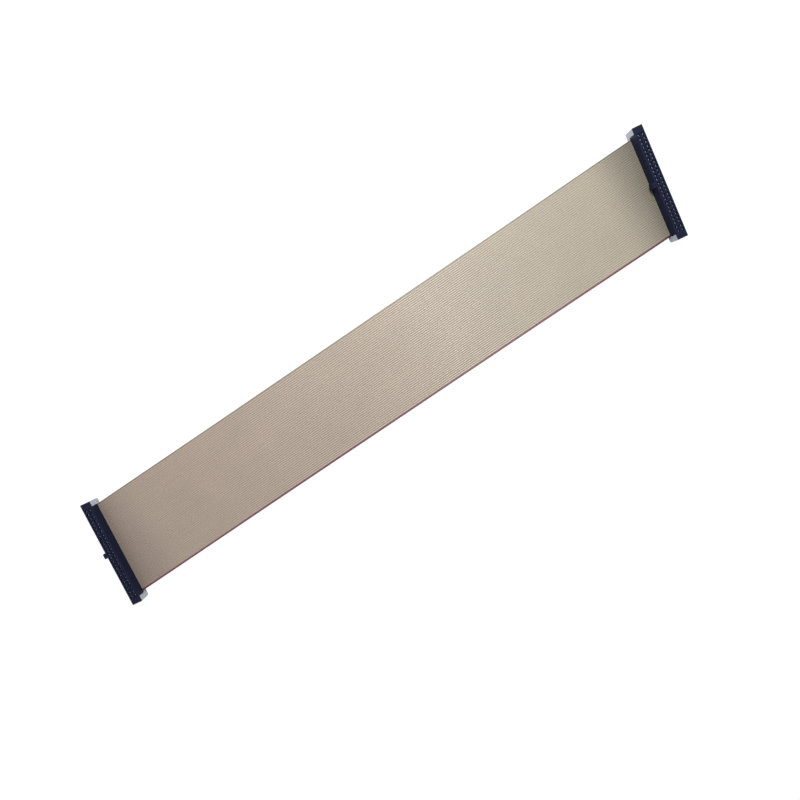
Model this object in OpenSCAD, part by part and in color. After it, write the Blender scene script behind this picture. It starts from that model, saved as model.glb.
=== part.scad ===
// Flat ribbon cable: 50 wires side by side, with a two-row insulation displacement socket at each end.
// X runs along the ribbon, Y across it, Z up. The origin is on the table, midway between the sockets.
// The red edge wire, which marks contact 1, lies at -Y. Both sockets face up.

/* [Ribbon] */
// Length of ribbon that shows between the two sockets
ribbon_len = 400; // [150:5:1000]
// Outside diameter of one insulated wire
wire_d = 0.9; // [0.75:0.05:1]
// Thickness of the web that joins one wire to the next
web_t = 0.35; // [0.2:0.05:0.5]
// Diameter of the copper strands inside each wire
core_d = 0.38; // [0.3:0.01:0.42]
// Ribbon that runs level out of a socket before it slopes down
lead_out = 8; // [7:1:30]
// Length over which the ribbon comes down to the table
ramp_len = 100; // [60:5:140]
// Angle by which each socket sits off square to the ribbon
skew = 8.7; // [0:0.1:10]

/* [Socket body] */
// Number of contacts in each of the two rows
contacts_per_row = 25; // [5:1:32]
// Spacing of the contacts along a row, and of the two rows
contact_pitch = 2.54; // [2.5:0.01:2.6]
// Width of the socket, along the ribbon
body_w = 6.1; // [5.8:0.1:7]
// Height of the mating face above the table
mating_z = 10.5; // [10:0.1:13]
// Length of flange beyond the contacts at each end
end_len = 3.8; // [3.4:0.1:6]
// Thickness of the flange at the mating face
flange_t = 1.2; // [0.8:0.1:1.6]
// Chamfer on the moulded edges
edge_chamfer = 0.25; // [0.1:0.05:0.4]
// Width of the polarising key along the socket
key_w = 3.4; // [2:0.1:5]
// How far the key stands out of the long side
key_out = 1.9; // [0.8:0.1:2.5]
// Height of the key, down from the mating face
key_h = 4.6; // [2:0.1:6]
// Size of a contact cavity along the socket
cavity_len = 1.6; // [1.5:0.05:1.7]
// Size of a contact cavity across the socket
cavity_w = 1.9; // [1.85:0.05:2.05]
// Size of the square mouth that a pin goes through
mouth = 1.3; // [0.9:0.05:1.4]
// Thickness of the lip around each mouth
lip_t = 1.1; // [0.9:0.1:1.3]
// Depth of the funnel that leads a pin into the mouth
funnel_depth = 0.7; // [0.3:0.1:0.8]

/* [Pressure cover] */
// Height of the ribbon's middle above the underside of the cover
clamp_z = 3; // [2.7:0.1:3.4]
// How far the latch nose on the body reaches into a leg
latch_out = 0.4; // [0.2:0.05:0.6]
// Height of the latch nose
latch_h = 1.4; // [0.8:0.1:2]
// Height of the latch nose's foot above the table
latch_z = 5.2; // [4.6:0.1:6]
// Chamfer under the ends of the cover
cover_chamfer = 0.8; // [0.3:0.1:1.5]

/* [Contacts] */
// Thickness of the bronze sheet
sheet_t = 0.3; // [0.2:0.05:0.35]
// Width of the fork that grips one wire
fork_w = 1; // [0.9:0.05:1.05]
// How far the fork's points reach below the ribbon's middle
fork_reach = 1.2; // [0.9:0.05:1.4]
// Width of the two spring beams
beam_w = 1.1; // [0.8:0.05:1.3]
// Outside spread of the two beams at their root
beam_spread = 1.6; // [1.4:0.05:1.7]
// Gap between the beams where they touch a pin
pin_gap = 0.46; // [0.3:0.02:0.6]

/* [Clearances] */
// Between one moulded piece and another
fit_gap = 0.05; // [0.02:0.01:0.1]
// Between the moulded grooves and the ribbon
grip_gap = 0.05; // [0.04:0.01:0.08]
// Between a contact and what it passes through
contact_gap = 0.05; // [0.03:0.01:0.08]
// Between the core of a wire and the fork's slot
core_gap = 0.01; // [0.005:0.005:0.02]

/* [Hidden] */
$fn = 32;

END_A = -1;
END_B = 1;
KEY_ROW = -1;
PLAIN_ROW = 1;
// How far a cut reaches past what it cuts
past = 1;
// How far one straight stretch of ribbon runs into the next
lap = 0.5;
// How much narrower the sloping stretches are on each side, so that no two sides lie in one plane
side_step = 0.02;

// Ribbon
wires = 2 * contacts_per_row;
wire_r = wire_d / 2;
wire_pitch = contact_pitch / 2 * cos(skew);
ribbon_half = (wires - 1) / 2 * wire_pitch + wire_r;
crown_half = wire_r * tan(22.5);
flank_half = sqrt(pow(wire_r, 2) - pow(web_t / 2, 2));
flat_z = wire_r;
ramp_top = ribbon_len / 2 - lead_out;
ramp_foot = ramp_top - ramp_len;
socket_x = ribbon_len / 2 + body_w / (2 * cos(skew));
cut_x = socket_x + body_w / (2 * cos(skew));
ribbon_end_x = cut_x + ribbon_half * tan(skew) + past;

// Socket
row_u = contact_pitch / 2;
field_half = contacts_per_row * contact_pitch / 2;
flange_half = field_half + end_len;
bay_half = ribbon_half / cos(skew) + body_w / 2 * tan(skew) + grip_gap;
body_half = bay_half - fit_gap;
body_z = clamp_z + web_t / 2 + grip_gap;
flange_z = mating_z - flange_t;
cavity_top = mating_z - lip_t;
groove_r = wire_r + grip_gap;

// Cover
cover_z = clamp_z - web_t / 2 - grip_gap;
leg_top = flange_z - fit_gap;

// Contacts
// From the underside of the body up to the offset plate, and to the strap that joins the beams
plate_lift = 0.9;
strap_lift = 2.1;
// How far each fork leg's outer and inner edge end above its point
outer_rise = 0.3;
inner_rise = 0.4;
// From the lip of the mouth down to the tips of the beams
tip_drop = 0.2;
// From the tips down to where the beams touch a pin, and to where they start to lean inwards
touch_depth = 0.5;
lean_depth = 1.2;
// How far each beam turns outwards at its tip
tip_flare = 0.15;
fork_shift = contact_pitch / 4 - row_u * tan(skew);
slot_half = core_d / (2 * cos(skew)) + sheet_t / 2 * tan(skew) + core_gap;
fork_tip_z = clamp_z - fork_reach;
slot_top_z = clamp_z + wire_r + contact_gap;
plate_z = body_z + plate_lift;
plate_half = cavity_len / 2 - contact_gap;
strap_z = body_z + strap_lift;
beam_tip_z = cavity_top - tip_drop;

// An outline that is the same on both sides of the upright axis, from the points of its right half
function both_sides(half) = concat(half, [for (i = [len(half) - 1:-1:0]) [-half[i].x, half[i].y]]);

function wire_y(i) = (i - (wires - 1) / 2) * wire_pitch;
function contact_v(k) = (k - (contacts_per_row - 1) / 2) * contact_pitch;

// A flat outline of [along the socket, up], carried across the socket
module across(width) rotate([90, 0, 90]) linear_extrude(width, center = true) children();

// A flat outline of [across the socket, up], carried along the socket
module lengthwise(length) rotate([90, 0, 0]) linear_extrude(length, center = true) children();

// Moves a socket piece from its own frame to its end of the ribbon
module at_end(end) translate([end * socket_x, 0, 0]) rotate([0, 0, -skew]) children();

module box(u, v, z) translate([u[0], v[0], z[0]]) cube([u[1] - u[0], v[1] - v[0], z[1] - z[0]]);

module wire_grooves() {
    rotate([0, 0, skew])
        for (i = [0:wires - 1])
            translate([0, wire_y(i), clamp_z])
                rotate([0, 90, 0]) cylinder(r = groove_r, h = 2 * body_w + past, center = true);
}

// Cavities of one row: a shaft for the contact, then the lip's mouth and the funnel above it
module cavity_row(row) {
    shaft = cavity_len / 2;
    width = cavity_w / 2;
    translate([row * row_u, 0, 0])
        intersection() {
            across(cavity_w + past)
                for (k = [0:contacts_per_row - 1])
                    translate([contact_v(k), 0]) polygon(cavity_outline(shaft));
            lengthwise(2 * field_half) polygon(cavity_outline(width));
        }
}

function cavity_outline(half) = both_sides([
    [half, body_z - past], [half, cavity_top], [mouth / 2, cavity_top],
    [mouth / 2, mating_z - funnel_depth], [half, mating_z], [half, mating_z + past],
]);

// Slots that hold the offset edge of each contact's plate
module plate_slots(row) {
    reach = fork_shift + fork_w / 2 + contact_gap;
    thick = sheet_t / 2 + contact_gap;
    for (k = [0:contacts_per_row - 1])
        translate([row * row_u, contact_v(k), 0])
            fork_side(row) box([-thick, thick], [0, reach], [body_z - past, strap_z + fit_gap]);
}

// The fork of the key row lies towards +v of its cavity, and that of the plain row towards -v
module fork_side(row) mirror([0, row == PLAIN_ROW ? 1 : 0, 0]) children();

module socket_body() {
    c = edge_chamfer;
    side = both_sides([
        [body_half, body_z], [body_half, latch_z], [body_half + latch_out, latch_z],
        [body_half, latch_z + latch_h], [body_half, flange_z], [flange_half, flange_z],
        [flange_half, mating_z - c], [flange_half - c, mating_z],
    ]);
    end = both_sides([
        [body_w / 2 - c, body_z], [body_w / 2, body_z + c],
        [body_w / 2, mating_z - c], [body_w / 2 - c, mating_z],
    ]);
    difference() {
        union() {
            intersection() {
                across(body_w + past) polygon(side);
                lengthwise(2 * flange_half + past) polygon(end);
            }
            polarising_key();
        }
        for (row = [KEY_ROW, PLAIN_ROW]) {
            cavity_row(row);
            plate_slots(row);
        }
        wire_grooves();
    }
}

module polarising_key() {
    c = edge_chamfer;
    root = -body_w / 2 + c;
    tip = -body_w / 2 - key_out;
    translate([0, 0, mating_z - key_h])
        linear_extrude(key_h - c)
            polygon([
                [root, -key_w / 2], [root, key_w / 2], [tip + c, key_w / 2],
                [tip, key_w / 2 - c], [tip, c - key_w / 2], [tip + c, -key_w / 2],
            ]);
}

module pressure_cover() {
    leg_in = bay_half;
    notch = latch_out + fit_gap;
    outline = both_sides([
        [flange_half - cover_chamfer, 0], [flange_half, cover_chamfer], [flange_half, leg_top],
        [leg_in, leg_top], [leg_in, latch_z + latch_h + fit_gap], [leg_in + notch, latch_z - fit_gap],
        [leg_in, latch_z - fit_gap], [leg_in, cover_z],
    ]);
    end = both_sides([
        [body_w / 2 - edge_chamfer, 0], [body_w / 2, edge_chamfer], [body_w / 2, leg_top],
    ]);
    difference() {
        intersection() {
            across(body_w + past) polygon(outline);
            lengthwise(2 * flange_half + past) polygon(end);
        }
        wire_grooves();
        for (row = [KEY_ROW, PLAIN_ROW]) fork_pockets(row);
    }
}

// Pockets in the cover that the points of the forks reach into
module fork_pockets(row) {
    half_u = sheet_t / 2 + 3 * contact_gap;
    half_v = fork_w / 2 + 2 * contact_gap;
    for (k = [0:contacts_per_row - 1])
        translate([row * row_u, contact_v(k) - row * fork_shift, 0])
            box([-half_u, half_u], [-half_v, half_v], [fork_tip_z - 2 * contact_gap, cover_z + past]);
}

// One stamped and folded contact: a fork below, and two spring beams above
module contact() {
    leg = fork_w / 2;
    mid = (leg + slot_half) / 2;
    root = beam_spread / 2;
    grip = pin_gap / 2;
    grip_z = beam_tip_z - touch_depth;
    straight_z = beam_tip_z - lean_depth;
    fork = [
        [leg, fork_tip_z + outer_rise], [mid, fork_tip_z], [slot_half, fork_tip_z + inner_rise],
        [slot_half, slot_top_z], [-slot_half, slot_top_z],
        [-slot_half, fork_tip_z + inner_rise], [-mid, fork_tip_z], [-leg, fork_tip_z + outer_rise],
        [-leg, plate_z], [-plate_half - fork_shift, plate_z],
        [-plate_half - fork_shift, strap_z], [leg, strap_z],
    ];
    clip = both_sides([
        [root, strap_z - sheet_t], [root, straight_z], [grip + sheet_t, grip_z],
        [grip + sheet_t + tip_flare, beam_tip_z], [grip + tip_flare, beam_tip_z], [grip, grip_z],
        [root - sheet_t, straight_z], [root - sheet_t, strap_z],
    ]);
    across(sheet_t) translate([fork_shift, 0]) polygon(fork);
    lengthwise(beam_w) polygon(clip);
}

module contact_row(row) {
    for (k = [0:contacts_per_row - 1])
        translate([row * row_u, contact_v(k), 0]) fork_side(row) contact();
}

// Insulation over the wires from first to last: level in and beside the sockets, and flat on the table between
module along_ribbon(first, last) {
    outline = section(first, last);
    sloping = [for (p = outline) [p.x * (1 - side_step / ribbon_half), p.y]];
    stretch([-ramp_foot - lap, flat_z], [ramp_foot + lap, flat_z], outline);
    stretch([-ramp_top, clamp_z], [-ramp_foot, flat_z], sloping);
    stretch([ramp_foot, flat_z], [ramp_top, clamp_z], sloping);
    clamped_end(END_A) stretch([-ribbon_end_x, clamp_z], [lap - ramp_top, clamp_z], outline);
    clamped_end(END_B) stretch([ramp_top - lap, clamp_z], [ribbon_end_x, clamp_z], outline);
}

// A straight stretch of ribbon between two points of its middle line, each [along, up]
module stretch(from, to, outline) {
    run = to - from;
    translate([from.x, 0, from.y])
        rotate([0, -atan2(run.y, run.x), 0])
            rotate([90, 0, 90]) linear_extrude(norm(run)) polygon(outline);
}

// Trims a stretch flush with its socket, and cuts the slits that the forks have made
module clamped_end(end) {
    difference() {
        intersection() {
            children();
            cut_to_sockets();
        }
        fork_slits(end);
    }
}

// The space between the sockets' outer sides, which the ribbon is trimmed flush with
module cut_to_sockets() {
    y = ribbon_half + past;
    slant = y * tan(skew);
    translate([0, 0, -past])
        linear_extrude(clamp_z + wire_d + 2 * past)
            polygon([[slant - cut_x, y], [slant + cut_x, y], [cut_x - slant, -y], [-cut_x - slant, -y]]);
}

// Where the fork's two legs pierce the ribbon, on both sides of each wire's core
module fork_slits(end) {
    inner = slot_half - core_gap;
    outer = fork_w / 2 + contact_gap;
    thick = sheet_t / 2 + contact_gap;
    at_end(end)
        for (row = [KEY_ROW, PLAIN_ROW], k = [0:contacts_per_row - 1], leg = [0, 1])
            translate([row * row_u, contact_v(k) - row * fork_shift, clamp_z])
                mirror([0, leg, 0]) box([-thick, thick], [inner, outer], [-wire_d, wire_d]);
}

// Upper side of one wire about its own middle: a web on each side, but a round free edge on the outermost
function wire_top(i) = [
    i == 0 ? [-wire_r, crown_half] : [-flank_half, web_t / 2], [-crown_half, wire_r],
    [crown_half, wire_r], i == wires - 1 ? [wire_r, crown_half] : [flank_half, web_t / 2],
];

// Upper side from the wire first to the wire last, out to mid web where the ribbon goes on
function ribbon_top(first, last) = concat(
    first == 0 ? [] : [[wire_y(first - 0.5), web_t / 2]],
    [for (i = [first:last], p = wire_top(i)) [wire_y(i) + p.x, p.y]],
    last == wires - 1 ? [] : [[wire_y(last + 0.5), web_t / 2]]
);

// Cross-section of the insulation, the same above and below its middle
function section(first, last) =
    let (top = ribbon_top(first, last))
    concat(top, [for (i = [len(top) - 1:-1:0]) [top[i].x, -top[i].y]]);

module socket_body_a() color("#22253a") at_end(END_A) socket_body();
module socket_body_b() color("#22253a") at_end(END_B) socket_body();
module pressure_cover_a() color("#c3c8ce") at_end(END_A) pressure_cover();
module pressure_cover_b() color("#c3c8ce") at_end(END_B) pressure_cover();
module contacts_a_key_row() color("#9c978d") at_end(END_A) contact_row(KEY_ROW);
module contacts_a_plain_row() color("#9c978d") at_end(END_A) contact_row(PLAIN_ROW);
module contacts_b_key_row() color("#9c978d") at_end(END_B) contact_row(KEY_ROW);
module contacts_b_plain_row() color("#9c978d") at_end(END_B) contact_row(PLAIN_ROW);

module ribbon_jacket() color("#b7a898") along_ribbon(1, wires - 1);
module red_edge_wire() color("#a3324f") along_ribbon(0, 0);

socket_body_a();
pressure_cover_a();
contacts_a_key_row();
contacts_a_plain_row();
socket_body_b();
pressure_cover_b();
contacts_b_key_row();
contacts_b_plain_row();
ribbon_jacket();
red_edge_wire();
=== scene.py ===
# %% [markdown]
# # A flat ribbon cable with a socket pressed onto each end
#
# The cable lies on a white table with both sockets facing up. The sockets, their covers and their
# contacts come from the CAD frame and only get their finish here. The ribbon is soft, so it is built
# again as a smooth surface with a round wire every 1.26 mm, which the plain solid only approximates.

# %% Load the frame
from math import cos, radians, tan

import bpy
import numpy as np
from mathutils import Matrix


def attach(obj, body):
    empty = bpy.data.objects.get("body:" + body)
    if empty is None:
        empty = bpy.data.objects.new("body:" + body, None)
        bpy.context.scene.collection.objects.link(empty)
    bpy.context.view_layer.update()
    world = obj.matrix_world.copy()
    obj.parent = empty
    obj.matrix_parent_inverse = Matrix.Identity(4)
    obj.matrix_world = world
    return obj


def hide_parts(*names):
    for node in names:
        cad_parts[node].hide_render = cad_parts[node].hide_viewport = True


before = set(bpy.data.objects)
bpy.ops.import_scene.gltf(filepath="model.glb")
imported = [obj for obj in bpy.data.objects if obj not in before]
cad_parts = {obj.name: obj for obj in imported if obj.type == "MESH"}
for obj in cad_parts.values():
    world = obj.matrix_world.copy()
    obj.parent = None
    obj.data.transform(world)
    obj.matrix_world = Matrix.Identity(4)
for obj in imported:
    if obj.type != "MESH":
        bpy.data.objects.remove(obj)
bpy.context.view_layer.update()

# %% [markdown]
# ## Sizes
#
# Everything is in metres, in the frame's own axes: X along the ribbon, Y across it, Z up. These are the
# sizes that the ribbon and its sockets share with the solid model.

# %% Sizes shared with the solid model
MM = 0.001
WIRES = 50
SKEW = radians(8.7)
WIRE_PITCH = 1.27 * MM * cos(SKEW)
WIRE_RADIUS = 0.45 * MM
WEB_HALF = 0.175 * MM
RIBBON_LENGTH = 400 * MM
RIBBON_WIDTH = (WIRES - 1) * WIRE_PITCH + 2 * WIRE_RADIUS
SOCKET_WIDTH = 6.1 * MM
SOCKET_X = RIBBON_LENGTH / 2 + SOCKET_WIDTH / (2 * cos(SKEW))
CUT_X = SOCKET_X + SOCKET_WIDTH / (2 * cos(SKEW))
CLAMP_Z = 3 * MM
RAMP_TOP_X = 192 * MM
RAMP_FOOT_X = 92 * MM
print("ribbon width:", round(RIBBON_WIDTH / MM, 2), "mm; cut to cut:", round(2 * CUT_X / MM, 1), "mm")

# %% [markdown]
# ## Camera
#
# The photograph was taken from almost straight above, with the cable running from lower left to upper
# right. The lens and the place come from a fit to the corners of the two mating faces, the legs of the
# covers and the edges of the ribbon.

# %% Camera
PICTURE_WIDTH_PX = 800
FOCAL_PX = 550
SENSOR_MM = 36
CAMERA_PLACE = (0.01692, 0.00351, 0.34705)
CAMERA_TURN_DEGREES = (-4.904, -0.212, -34.013)
CAMERA_NEAREST = 10 * MM

camera_data = bpy.data.cameras.new("camera")
camera_data.sensor_width = SENSOR_MM
camera_data.lens = SENSOR_MM * FOCAL_PX / PICTURE_WIDTH_PX
camera_data.clip_start = CAMERA_NEAREST
camera = bpy.data.objects.new("camera", camera_data)
camera.location = CAMERA_PLACE
camera.rotation_mode = "YXZ"
camera.rotation_euler = [radians(turn) for turn in CAMERA_TURN_DEGREES]
bpy.context.collection.objects.link(camera)
bpy.context.scene.camera = camera

# %% [markdown]
# ## The ribbon
#
# A ribbon cable is extruded in one go: fifty stranded wires side by side, with thin webs between their
# round jackets. It is held 3 mm above the table where a socket grips it, comes down in a long shallow
# slope, because it is stiff for its weight, and lies flat between. So the surface is one profile, the
# outline of the section, carried along a route. The sockets sit askew on the ribbon, so the rings at
# the ends are sheared until they are parallel to the sockets.

# %% Route of the ribbon
FLAT_RINGS = [0, 30 * MM, 60 * MM]
RINGS_ON_SLOPE = 15


def height(x):
    """Height of the ribbon's middle at x: flat, then a slope 3t^2 - 2t^3, then level by the sockets."""
    t = np.clip((np.abs(x) - RAMP_FOOT_X) / (RAMP_TOP_X - RAMP_FOOT_X), 0, 1)
    return WIRE_RADIUS + (CLAMP_Z - WIRE_RADIUS) * t * t * (3 - 2 * t)


slope_rings = np.linspace(RAMP_FOOT_X, RAMP_TOP_X, RINGS_ON_SLOPE)
half_rings = np.concatenate([FLAT_RINGS, slope_rings, [CUT_X]])
ring_x = np.concatenate([-half_rings[:0:-1], half_rings])

# %% Outline of the section
POINTS_ON_WIRE = 9
POINTS_ON_EDGE = 4
WEB_TURN = np.arcsin(WEB_HALF / WIRE_RADIUS)


def wire_y(i):
    """Place of a wire across the ribbon, counted from the red one at -Y."""
    return (i - (WIRES - 1) / 2) * WIRE_PITCH


def arc(i, start, end, count):
    """Points on the round jacket of wire i, from one angle to another, counted from +Y."""
    turn = np.linspace(start, end, count)
    return np.stack([wire_y(i) + WIRE_RADIUS * np.cos(turn), WIRE_RADIUS * np.sin(turn)], axis=1)


def outline(first, last):
    """Closed outline over some wires: the jackets and webs above, and their mirror image below."""
    jackets = [arc(i, np.pi - WEB_TURN, WEB_TURN, POINTS_ON_WIRE) for i in range(first, last + 1)]
    start = [[wire_y(first - 0.5), WEB_HALF]]
    end = [[wire_y(last + 0.5), WEB_HALF]]
    if first == 0:
        start = arc(0, np.pi, np.pi - WEB_TURN, POINTS_ON_EDGE)[:-1]
    if last == WIRES - 1:
        end = arc(last, WEB_TURN, 0, POINTS_ON_EDGE)[1:]
    above = np.concatenate([start, *jackets, end])
    below = above[::-1] * [1, -1]
    on_middle = np.isclose(below[:, 1], 0)
    return np.concatenate([above, below[~on_middle]])


# %% Carry the outline along the route
CREASE_ANGLE = radians(40)


def mesh_object(name, points, faces):
    """A mesh object at the origin, smooth shaded but for edges sharper than the crease angle."""
    mesh = bpy.data.meshes.new(name)
    mesh.from_pydata(points.reshape(-1, 3).tolist(), [], faces)
    mesh.polygons.foreach_set("use_smooth", np.ones(len(mesh.polygons), dtype=bool))
    mesh.set_sharp_from_angle(angle=CREASE_ANGLE)
    mesh.update()
    piece = bpy.data.objects.new(name, mesh)
    bpy.context.collection.objects.link(piece)
    return piece


def swept(name, profile):
    """A profile on every ring of the route. A ring leans towards the sockets' angle the higher it lies."""
    across, up = profile.T
    lean = (height(ring_x) - WIRE_RADIUS) / (CLAMP_Z - WIRE_RADIUS)
    x = ring_x[:, None] + tan(SKEW) * lean[:, None] * across[None, :]
    y = np.broadcast_to(across, x.shape)
    z = height(ring_x)[:, None] + up[None, :]
    rings, count = x.shape
    corner = np.arange(rings * count).reshape(rings, count)
    falloff_colour = np.roll(corner, -1, axis=1)
    sides = np.stack([corner[:-1], corner[1:], falloff_colour[1:], falloff_colour[:-1]], axis=-1).reshape(-1, 4)
    caps = [corner[0].tolist(), corner[-1, ::-1].tolist()]
    return mesh_object(name, np.stack([x, y, z], axis=-1), sides.tolist() + caps)


grey_ribbon = swept("grey_ribbon", outline(1, WIRES - 1))
red_wire = swept("red_wire", outline(0, 0))
print("grey ribbon:", len(grey_ribbon.data.polygons), "faces; red wire:", len(red_wire.data.polygons))

# %% [markdown]
# Each wire has seven copper strands, one in the middle and six round it. They show only where the ribbon
# was trimmed, on the outer side of each socket, and stand a hair out of the softer jacket.

# %% Copper strands at the cut ends
STRANDS_ROUND = 6
STRAND_RADIUS = 0.0635 * MM
STRAND_SIDES = 8
STRAND_PROUD = 0.05 * MM
STRAND_SUNK = 0.3 * MM
END_A = -1
END_B = 1


def strand_ends(name, end):
    """Short strands in all the wires at one end of the ribbon. Their ends follow the slant of the cut."""
    turn = np.arange(STRANDS_ROUND) * 2 * np.pi / STRANDS_ROUND
    rim = np.arange(STRAND_SIDES) * 2 * np.pi / STRAND_SIDES
    strand_y = np.append(0, 2 * STRAND_RADIUS * np.cos(turn))
    strand_z = np.append(0, 2 * STRAND_RADIUS * np.sin(turn))
    y = wire_y(np.arange(WIRES))[:, None, None] + strand_y[:, None] + STRAND_RADIUS * np.cos(rim)
    z = np.broadcast_to(CLAMP_Z + strand_z[:, None] + STRAND_RADIUS * np.sin(rim), y.shape)
    cut = end * CUT_X + tan(SKEW) * y
    sunk = np.stack([cut - end * STRAND_SUNK, y, z], axis=-1)
    proud = np.stack([cut + end * STRAND_PROUD, y, z], axis=-1)
    corner = np.arange(2 * y.size).reshape(-1, 2, STRAND_SIDES)
    ahead = np.roll(corner, -1, axis=2)
    sides = np.stack([corner[:, 0], ahead[:, 0], ahead[:, 1], corner[:, 1]], axis=-1).reshape(-1, 4)
    caps = np.concatenate([corner[:, 0, ::-1], corner[:, 1]])
    faces = [face[::end] for face in sides.tolist() + caps.tolist()]
    return mesh_object(name, np.stack([sunk, proud], axis=2), faces)


strands_a = strand_ends("strands_a", END_A)
strands_b = strand_ends("strands_b", END_B)

for piece, node, slot in (
    (grey_ribbon, "ribbon_jacket", "grey_insulation"),
    (red_wire, "red_edge_wire", "red_insulation"),
):
    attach(piece, "root")
    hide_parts(node)
for piece in (strands_a, strands_b):
    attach(piece, "root")

# %% [markdown]
# ## How the materials are written
#
# Colours are written as sRGB hex values, the way a colour picker shows them, and turned to the linear
# values that Blender calculates with. One small function adds a node with its settings and links.

# %% Helpers for materials
def linear(code):
    """Linear RGBA from an sRGB hex code."""
    value = np.array([int(code[i:i + 2], 16) for i in (1, 3, 5)]) / 255
    low = value / 12.92
    high = ((value + 0.055) / 1.055) ** 2.4
    return (*np.where(value <= 0.04045, low, high), 1.0)


def add(tree, kind, inputs=(), **settings):
    """Adds one node. An input gets a value, an output of a node, or a node for its first output in use."""
    node = tree.nodes.new(kind)
    for name, value in settings.items():
        setattr(node, name, value)
    for name, value in dict(inputs).items():
        if isinstance(value, bpy.types.Node):
            value = next(output for output in value.outputs if output.enabled)
        if isinstance(value, bpy.types.NodeSocket):
            tree.links.new(value, node.inputs[name])
        else:
            node.inputs[name].default_value = value
    return node


def new_tree(name):
    """A new material and its node tree, emptied."""
    material = bpy.data.materials.new(name)
    material.use_nodes = True
    material.node_tree.nodes.clear()
    return material, material.node_tree


# %% [markdown]
# ## Soft PVC of the ribbon
#
# The jackets are plasticised PVC, extruded side by side. The plasticiser gives a low waxy sheen, and the
# die leaves faint streaks along the wires. The webs are painted darker as painted shade and the crowns of
# the wires lighter as a painted highlight, which makes the fine stripes. The stripes fade towards the ends,
# where the ribbon stands off the white table, and the webs there are painted lighter for light coming up
# through them. A level multiplies the plain colour.
#
# The colour drifts slowly over the length, from a brownish grey at end A to a cream grey at end B; this
# drift is painted light falloff along the ribbon. Beside each socket a painted shadow dims it, deeper at
# end B. The outer side of each edge wire is painted dark as painted shade on its rounded far side.

# %% PVC insulation
STREAK_WIDTH = 0.5 * MM
STREAK_LENGTH = 60 * MM
STREAK_DEPTH = 0.02 * MM
STREAK_STRENGTH = 0.15
PATCH_SIZE = 35 * MM
PATCH_DETAIL = 3.0
UNEVEN_FROM = {"From Min": 0.7, "From Max": 1.3}
UNEVEN_TO = {"To Min": 0.95, "To Max": 1.04}
# Width of the painted shade on the outer side of each edge wire.
EDGE_SHADE_WIDTH = 0.6 * MM
# Length and depth of the painted shadow beside each socket.
SOCKET_SHADOW_LENGTH = 32 * MM
SOCKET_SHADOW_LEVEL_A = 0.78
SOCKET_SHADOW_LEVEL_B = 0.52
# Painted stripes: levels of painted shade in the webs and painted highlight on the crowns, with webs
# painted lighter towards the ends.
STRIPES_FULL_X = 70 * MM
STRIPES_GONE_X = 150 * MM
CROWN_PAINTED_HIGHLIGHT_LEVEL = 1.36
WEB_PAINTED_SHADE_LEVEL = 0.78
WEB_PAINTED_LIGHT_LEVEL = 1.08
FIRST_WIRE_Y = wire_y(0)
PVC_IOR = 1.53


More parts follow.
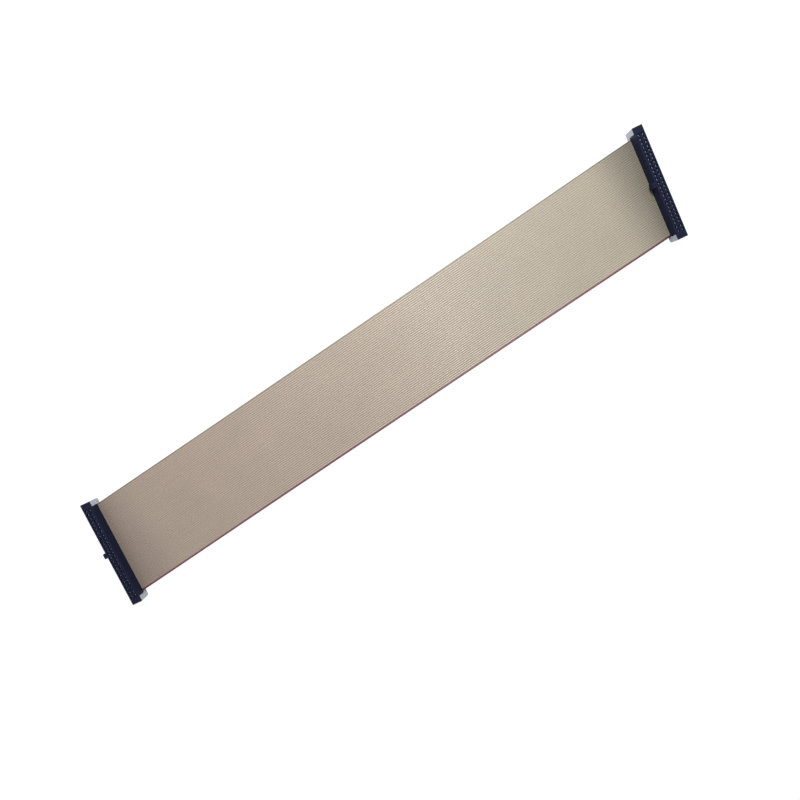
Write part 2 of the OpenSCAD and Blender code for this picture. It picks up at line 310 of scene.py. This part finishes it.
def pvc(name, colour_a, colour_b, edge_shade_colour, roughness):
    """Extruded PVC: painted light falloff from A to B, painted shade on the outer edges, painted stripes,
    streaks along X and slow patches.
    """
    material, tree = new_tree(name)
    place = add(tree, "ShaderNodeTexCoord").outputs["Object"]
    axes = add(tree, "ShaderNodeSeparateXYZ", {0: place})
    x, y = axes.outputs["X"], axes.outputs["Y"]
    from_middle = add(tree, "ShaderNodeMath", {0: x}, operation="ABSOLUTE")
    from_axis = add(tree, "ShaderNodeMath", {0: y}, operation="ABSOLUTE")

    # Painted light falloff: the colour shifts from end A to end B.
    whole_length = {"Value": x, "From Min": -RIBBON_LENGTH / 2, "From Max": RIBBON_LENGTH / 2}
    painted_falloff = add(tree, "ShaderNodeMapRange", whole_length)
    ends = {"Factor": painted_falloff, "A": linear(colour_a), "B": linear(colour_b)}
    falloff_colour = add(tree, "ShaderNodeMix", ends, data_type="RGBA")
    # Painted shade on the rounded outer side of each edge wire.
    edge_start = RIBBON_WIDTH / 2 - EDGE_SHADE_WIDTH
    edge_range = {"Value": from_axis, "From Min": edge_start, "From Max": edge_start + EDGE_SHADE_WIDTH / 2}
    painted_edge_shade = add(tree, "ShaderNodeMapRange", edge_range)
    edges = {"Factor": painted_edge_shade, "A": falloff_colour, "B": linear(edge_shade_colour)}
    edge_shaded = add(tree, "ShaderNodeMix", edges, data_type="RGBA")

    # Painted stripes: painted shade in the webs and a painted highlight on the crowns of the wires.
    from_first = add(tree, "ShaderNodeMath", {0: y, 1: FIRST_WIRE_Y}, operation="SUBTRACT")
    turns = add(tree, "ShaderNodeMath", {0: from_first, 1: 2 * np.pi / WIRE_PITCH}, operation="MULTIPLY")
    wave = add(tree, "ShaderNodeMath", {0: turns}, operation="COSINE")
    fade = {"Value": from_middle, "From Min": STRIPES_FULL_X, "From Max": STRIPES_GONE_X}
    painted_web_level = add(tree, "ShaderNodeMapRange", fade | {"To Min": WEB_PAINTED_SHADE_LEVEL, "To Max": WEB_PAINTED_LIGHT_LEVEL})
    painted_crown_level = add(tree, "ShaderNodeMapRange", fade | {"To Min": CROWN_PAINTED_HIGHLIGHT_LEVEL, "To Max": 1})
    levels = {"Value": wave, "From Min": -1, "To Min": painted_web_level, "To Max": painted_crown_level}
    painted_stripes = add(tree, "ShaderNodeMapRange", levels)

    stretch = {"Vector": place, "Scale": (1 / STREAK_LENGTH, 1 / STREAK_WIDTH, 0)}
    stretched = add(tree, "ShaderNodeMapping", stretch)
    streaks = add(tree, "ShaderNodeTexNoise", {"Vector": stretched, "Scale": 1})
    patch_inputs = {"Vector": place, "Scale": 1 / PATCH_SIZE, "Detail": PATCH_DETAIL}
    patches = add(tree, "ShaderNodeTexNoise", patch_inputs)
    both = add(tree, "ShaderNodeMath", {0: streaks, 1: patches}, operation="ADD")
    uneven = add(tree, "ShaderNodeMapRange", {"Value": both} | UNEVEN_FROM | UNEVEN_TO)

    # Painted shadow beside each socket, deeper at end B.
    socket_shadow_levels = {"To Min": SOCKET_SHADOW_LEVEL_A, "To Max": SOCKET_SHADOW_LEVEL_B}
    deepest_socket_shadow = add(tree, "ShaderNodeMapRange", whole_length | socket_shadow_levels)
    beside_socket = {
        "Value": from_middle,
        "From Min": RIBBON_LENGTH / 2 - SOCKET_SHADOW_LENGTH,
        "From Max": RIBBON_LENGTH / 2,
        "To Min": 1,
        "To Max": deepest_socket_shadow,
    }
    painted_socket_shadow = add(tree, "ShaderNodeMapRange", beside_socket, interpolation_type="SMOOTHSTEP")
    marked = add(tree, "ShaderNodeMath", {0: painted_stripes, 1: uneven}, operation="MULTIPLY")
    value = add(tree, "ShaderNodeMath", {0: marked, 1: painted_socket_shadow}, operation="MULTIPLY")
    toned = add(tree, "ShaderNodeHueSaturation", {"Color": edge_shaded, "Value": value})
    relief = {"Height": streaks, "Strength": STREAK_STRENGTH, "Distance": STREAK_DEPTH}
    bump = add(tree, "ShaderNodeBump", relief)
    surface = {"Base Color": toned, "Roughness": roughness, "IOR": PVC_IOR, "Normal": bump}
    jacket = add(tree, "ShaderNodeBsdfPrincipled", surface)
    add(tree, "ShaderNodeOutputMaterial", {"Surface": jacket})
    return material


# Colours at ends A and B of the painted light falloff, the colour of the painted edge shade, then
# roughness.
grey_pvc = pvc("soft PVC, grey", "#a09084", "#a19989", "#47442f", 0.36)
red_pvc = pvc("soft PVC, red", "#76324a", "#682a3c", "#3c1122", 0.38)
grey_ribbon.data.materials.append(grey_pvc)
red_wire.data.materials.append(red_pvc)

# %% [markdown]
# ## Glass-filled polyester of the sockets
#
# The socket body is moulded from PBT with short glass fibres, which takes the heat of soldering nearby.
# It is almost black with a blue cast. The fibres roughen the surface a little, so edges catch the light.

# %% Moulded polyester
FIBRE_MARK = 0.25 * MM
FIBRE_DEPTH = 0.02 * MM
FIBRE_STRENGTH = 0.25
FLOW_MARK = 6 * MM
ROUGHNESS_SPREAD = 0.08
PBT_IOR = 1.57
SCATTER_DEPTH = 0.8 * MM


def moulded(name, colour, flow_colour, roughness, sheen, shine_through=0.0):
    """Moulded polyester: a colour with slow flow marks, and a fibre grain in its roughness and bump."""
    material, tree = new_tree(name)
    place = add(tree, "ShaderNodeTexCoord").outputs["Object"]
    grain = add(tree, "ShaderNodeTexNoise", {"Vector": place, "Scale": 1 / FIBRE_MARK})
    flow = add(tree, "ShaderNodeTexNoise", {"Vector": place, "Scale": 1 / FLOW_MARK})
    tones = {"Factor": flow, "A": linear(colour), "B": linear(flow_colour)}
    tint = add(tree, "ShaderNodeMix", tones, data_type="RGBA")
    low = roughness - ROUGHNESS_SPREAD
    high = roughness + ROUGHNESS_SPREAD
    rough = add(tree, "ShaderNodeMapRange", {"Value": grain, "To Min": low, "To Max": high})
    relief = {"Height": grain, "Strength": FIBRE_STRENGTH, "Distance": FIBRE_DEPTH}
    bump = add(tree, "ShaderNodeBump", relief)
    surface = {
        "Base Color": tint,
        "Roughness": rough,
        "IOR": PBT_IOR,
        "Specular IOR Level": sheen,
        "Normal": bump,
        "Subsurface Weight": shine_through,
        "Subsurface Radius": (1.0, 1.0, 1.0),
        "Subsurface Scale": SCATTER_DEPTH,
    }
    moulding = add(tree, "ShaderNodeBsdfPrincipled", surface)
    add(tree, "ShaderNodeOutputMaterial", {"Surface": moulding})
    return material


body_plastic = moulded("glass-filled PBT, blue-black", "#0b1028", "#121832", 0.55, 0.12)
cover_plastic = moulded("PBT, pale grey", "#adb2bb", "#a2a8b2", 0.5, 0.4, 0.15)

# %% [markdown]
# ## Contacts and strands
#
# The contacts are stamped from phosphor bronze sheet and plated with matt tin. Only the tips of their
# beams show, down in the mouths, as a dull grey glint. The strands of the wires show bare copper where
# they were cut.

# %% Metals
METAL_GRAIN = 0.1 * MM
METAL_GRAIN_DETAIL = 1.0
METAL_ROUGHNESS = {"To Min": 0.35, "To Max": 0.55}


def metal(name, colour):
    """Dull metal with a fine grain in its roughness."""
    material, tree = new_tree(name)
    place = add(tree, "ShaderNodeTexCoord").outputs["Object"]
    grain_inputs = {"Vector": place, "Scale": 1 / METAL_GRAIN, "Detail": METAL_GRAIN_DETAIL}
    grain = add(tree, "ShaderNodeTexNoise", grain_inputs)
    rough = add(tree, "ShaderNodeMapRange", {"Value": grain} | METAL_ROUGHNESS)
    surface = {"Base Color": linear(colour), "Metallic": 1.0, "Roughness": rough}
    sheet = add(tree, "ShaderNodeBsdfPrincipled", surface)
    add(tree, "ShaderNodeOutputMaterial", {"Surface": sheet})
    return material


contact_metal = metal("phosphor bronze, matt tin plated", "#c4cad6")
cut_copper = metal("copper, freshly cut", "#c98a68")
strands_a.data.materials.append(cut_copper)
strands_b.data.materials.append(cut_copper)

# %% Give the CAD nodes their finish
NODE_FINISHES = {"socket_body": body_plastic, "pressure_cover": cover_plastic, "contacts": contact_metal}

for name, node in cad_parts.items():
    for start, material in NODE_FINISHES.items():
        if name.startswith(start):
            for slot in node.material_slots:
                slot.material = material

# %% [markdown]
# ## Table and light
#
# The cable was photographed on a bright white sheet, so bright that only a trace of shadow is left. The
# sheet is drawn white for the camera, and a share of its real shading is kept for that shadow.

# %% Table
SHEET_SIZE = 3.0
SHEET_GLOW = 1.06
SHADOW_SHARE = 0.1

sheet_corners = np.array([[-1, -1, 0], [1, -1, 0], [1, 1, 0], [-1, 1, 0]]) * SHEET_SIZE / 2
table_sheet = mesh_object("table_sheet", sheet_corners, [(0, 1, 2, 3)])
sheet_material, sheet_tree = new_tree("matt white paper")
paper = add(sheet_tree, "ShaderNodeBsdfDiffuse", {"Color": linear("#f4f4f4")})
white = add(sheet_tree, "ShaderNodeEmission", {"Color": linear("#ffffff"), "Strength": SHEET_GLOW})
from_camera = add(sheet_tree, "ShaderNodeLightPath").outputs["Is Camera Ray"]
share = {0: from_camera, 1: 1 - SHADOW_SHARE}
drawn = add(sheet_tree, "ShaderNodeMath", share, operation="MULTIPLY")
sheet = add(sheet_tree, "ShaderNodeMixShader", {0: drawn, 1: paper, 2: white})
add(sheet_tree, "ShaderNodeOutputMaterial", {"Surface": sheet})
table_sheet.data.materials.append(sheet_material)

# %% [markdown]
# The light is a dim white surround, which the camera and the reflections see as full white, and one
# soft lamp high on the side away from the red wire, towards end B.

# %% Studio light
SKY_STRENGTH = 0.44
LAMP_PLACE = (0.12, 0.24, 0.42)
LAMP_SIZE = 0.15
LAMP_WATTS = 2.6

world = bpy.data.worlds.new("studio")
world.use_nodes = True
world.node_tree.nodes.clear()
ray = add(world.node_tree, "ShaderNodeLightPath").outputs
seen = ray["Is Camera Ray"]
for kind in ("Is Glossy Ray", "Is Transmission Ray"):
    seen = add(world.node_tree, "ShaderNodeMath", {0: seen, 1: ray[kind]}, operation="MAXIMUM")
level = add(world.node_tree, "ShaderNodeMapRange", {"Value": seen, "To Min": SKY_STRENGTH})
sky = add(world.node_tree, "ShaderNodeBackground", {"Color": linear("#ffffff"), "Strength": level})
add(world.node_tree, "ShaderNodeOutputWorld", {"Surface": sky})
bpy.context.scene.world = world

lamp = bpy.data.lights.new("key_lamp", "AREA")
lamp.size = LAMP_SIZE
lamp.energy = LAMP_WATTS
key_lamp = bpy.data.objects.new("key_lamp", lamp)
key_lamp.location = LAMP_PLACE
key_lamp.rotation_euler = (-key_lamp.location).to_track_quat("-Z", "Y").to_euler()
bpy.context.collection.objects.link(key_lamp)

# %% Finish
bpy.context.scene.view_settings.view_transform = "Standard"
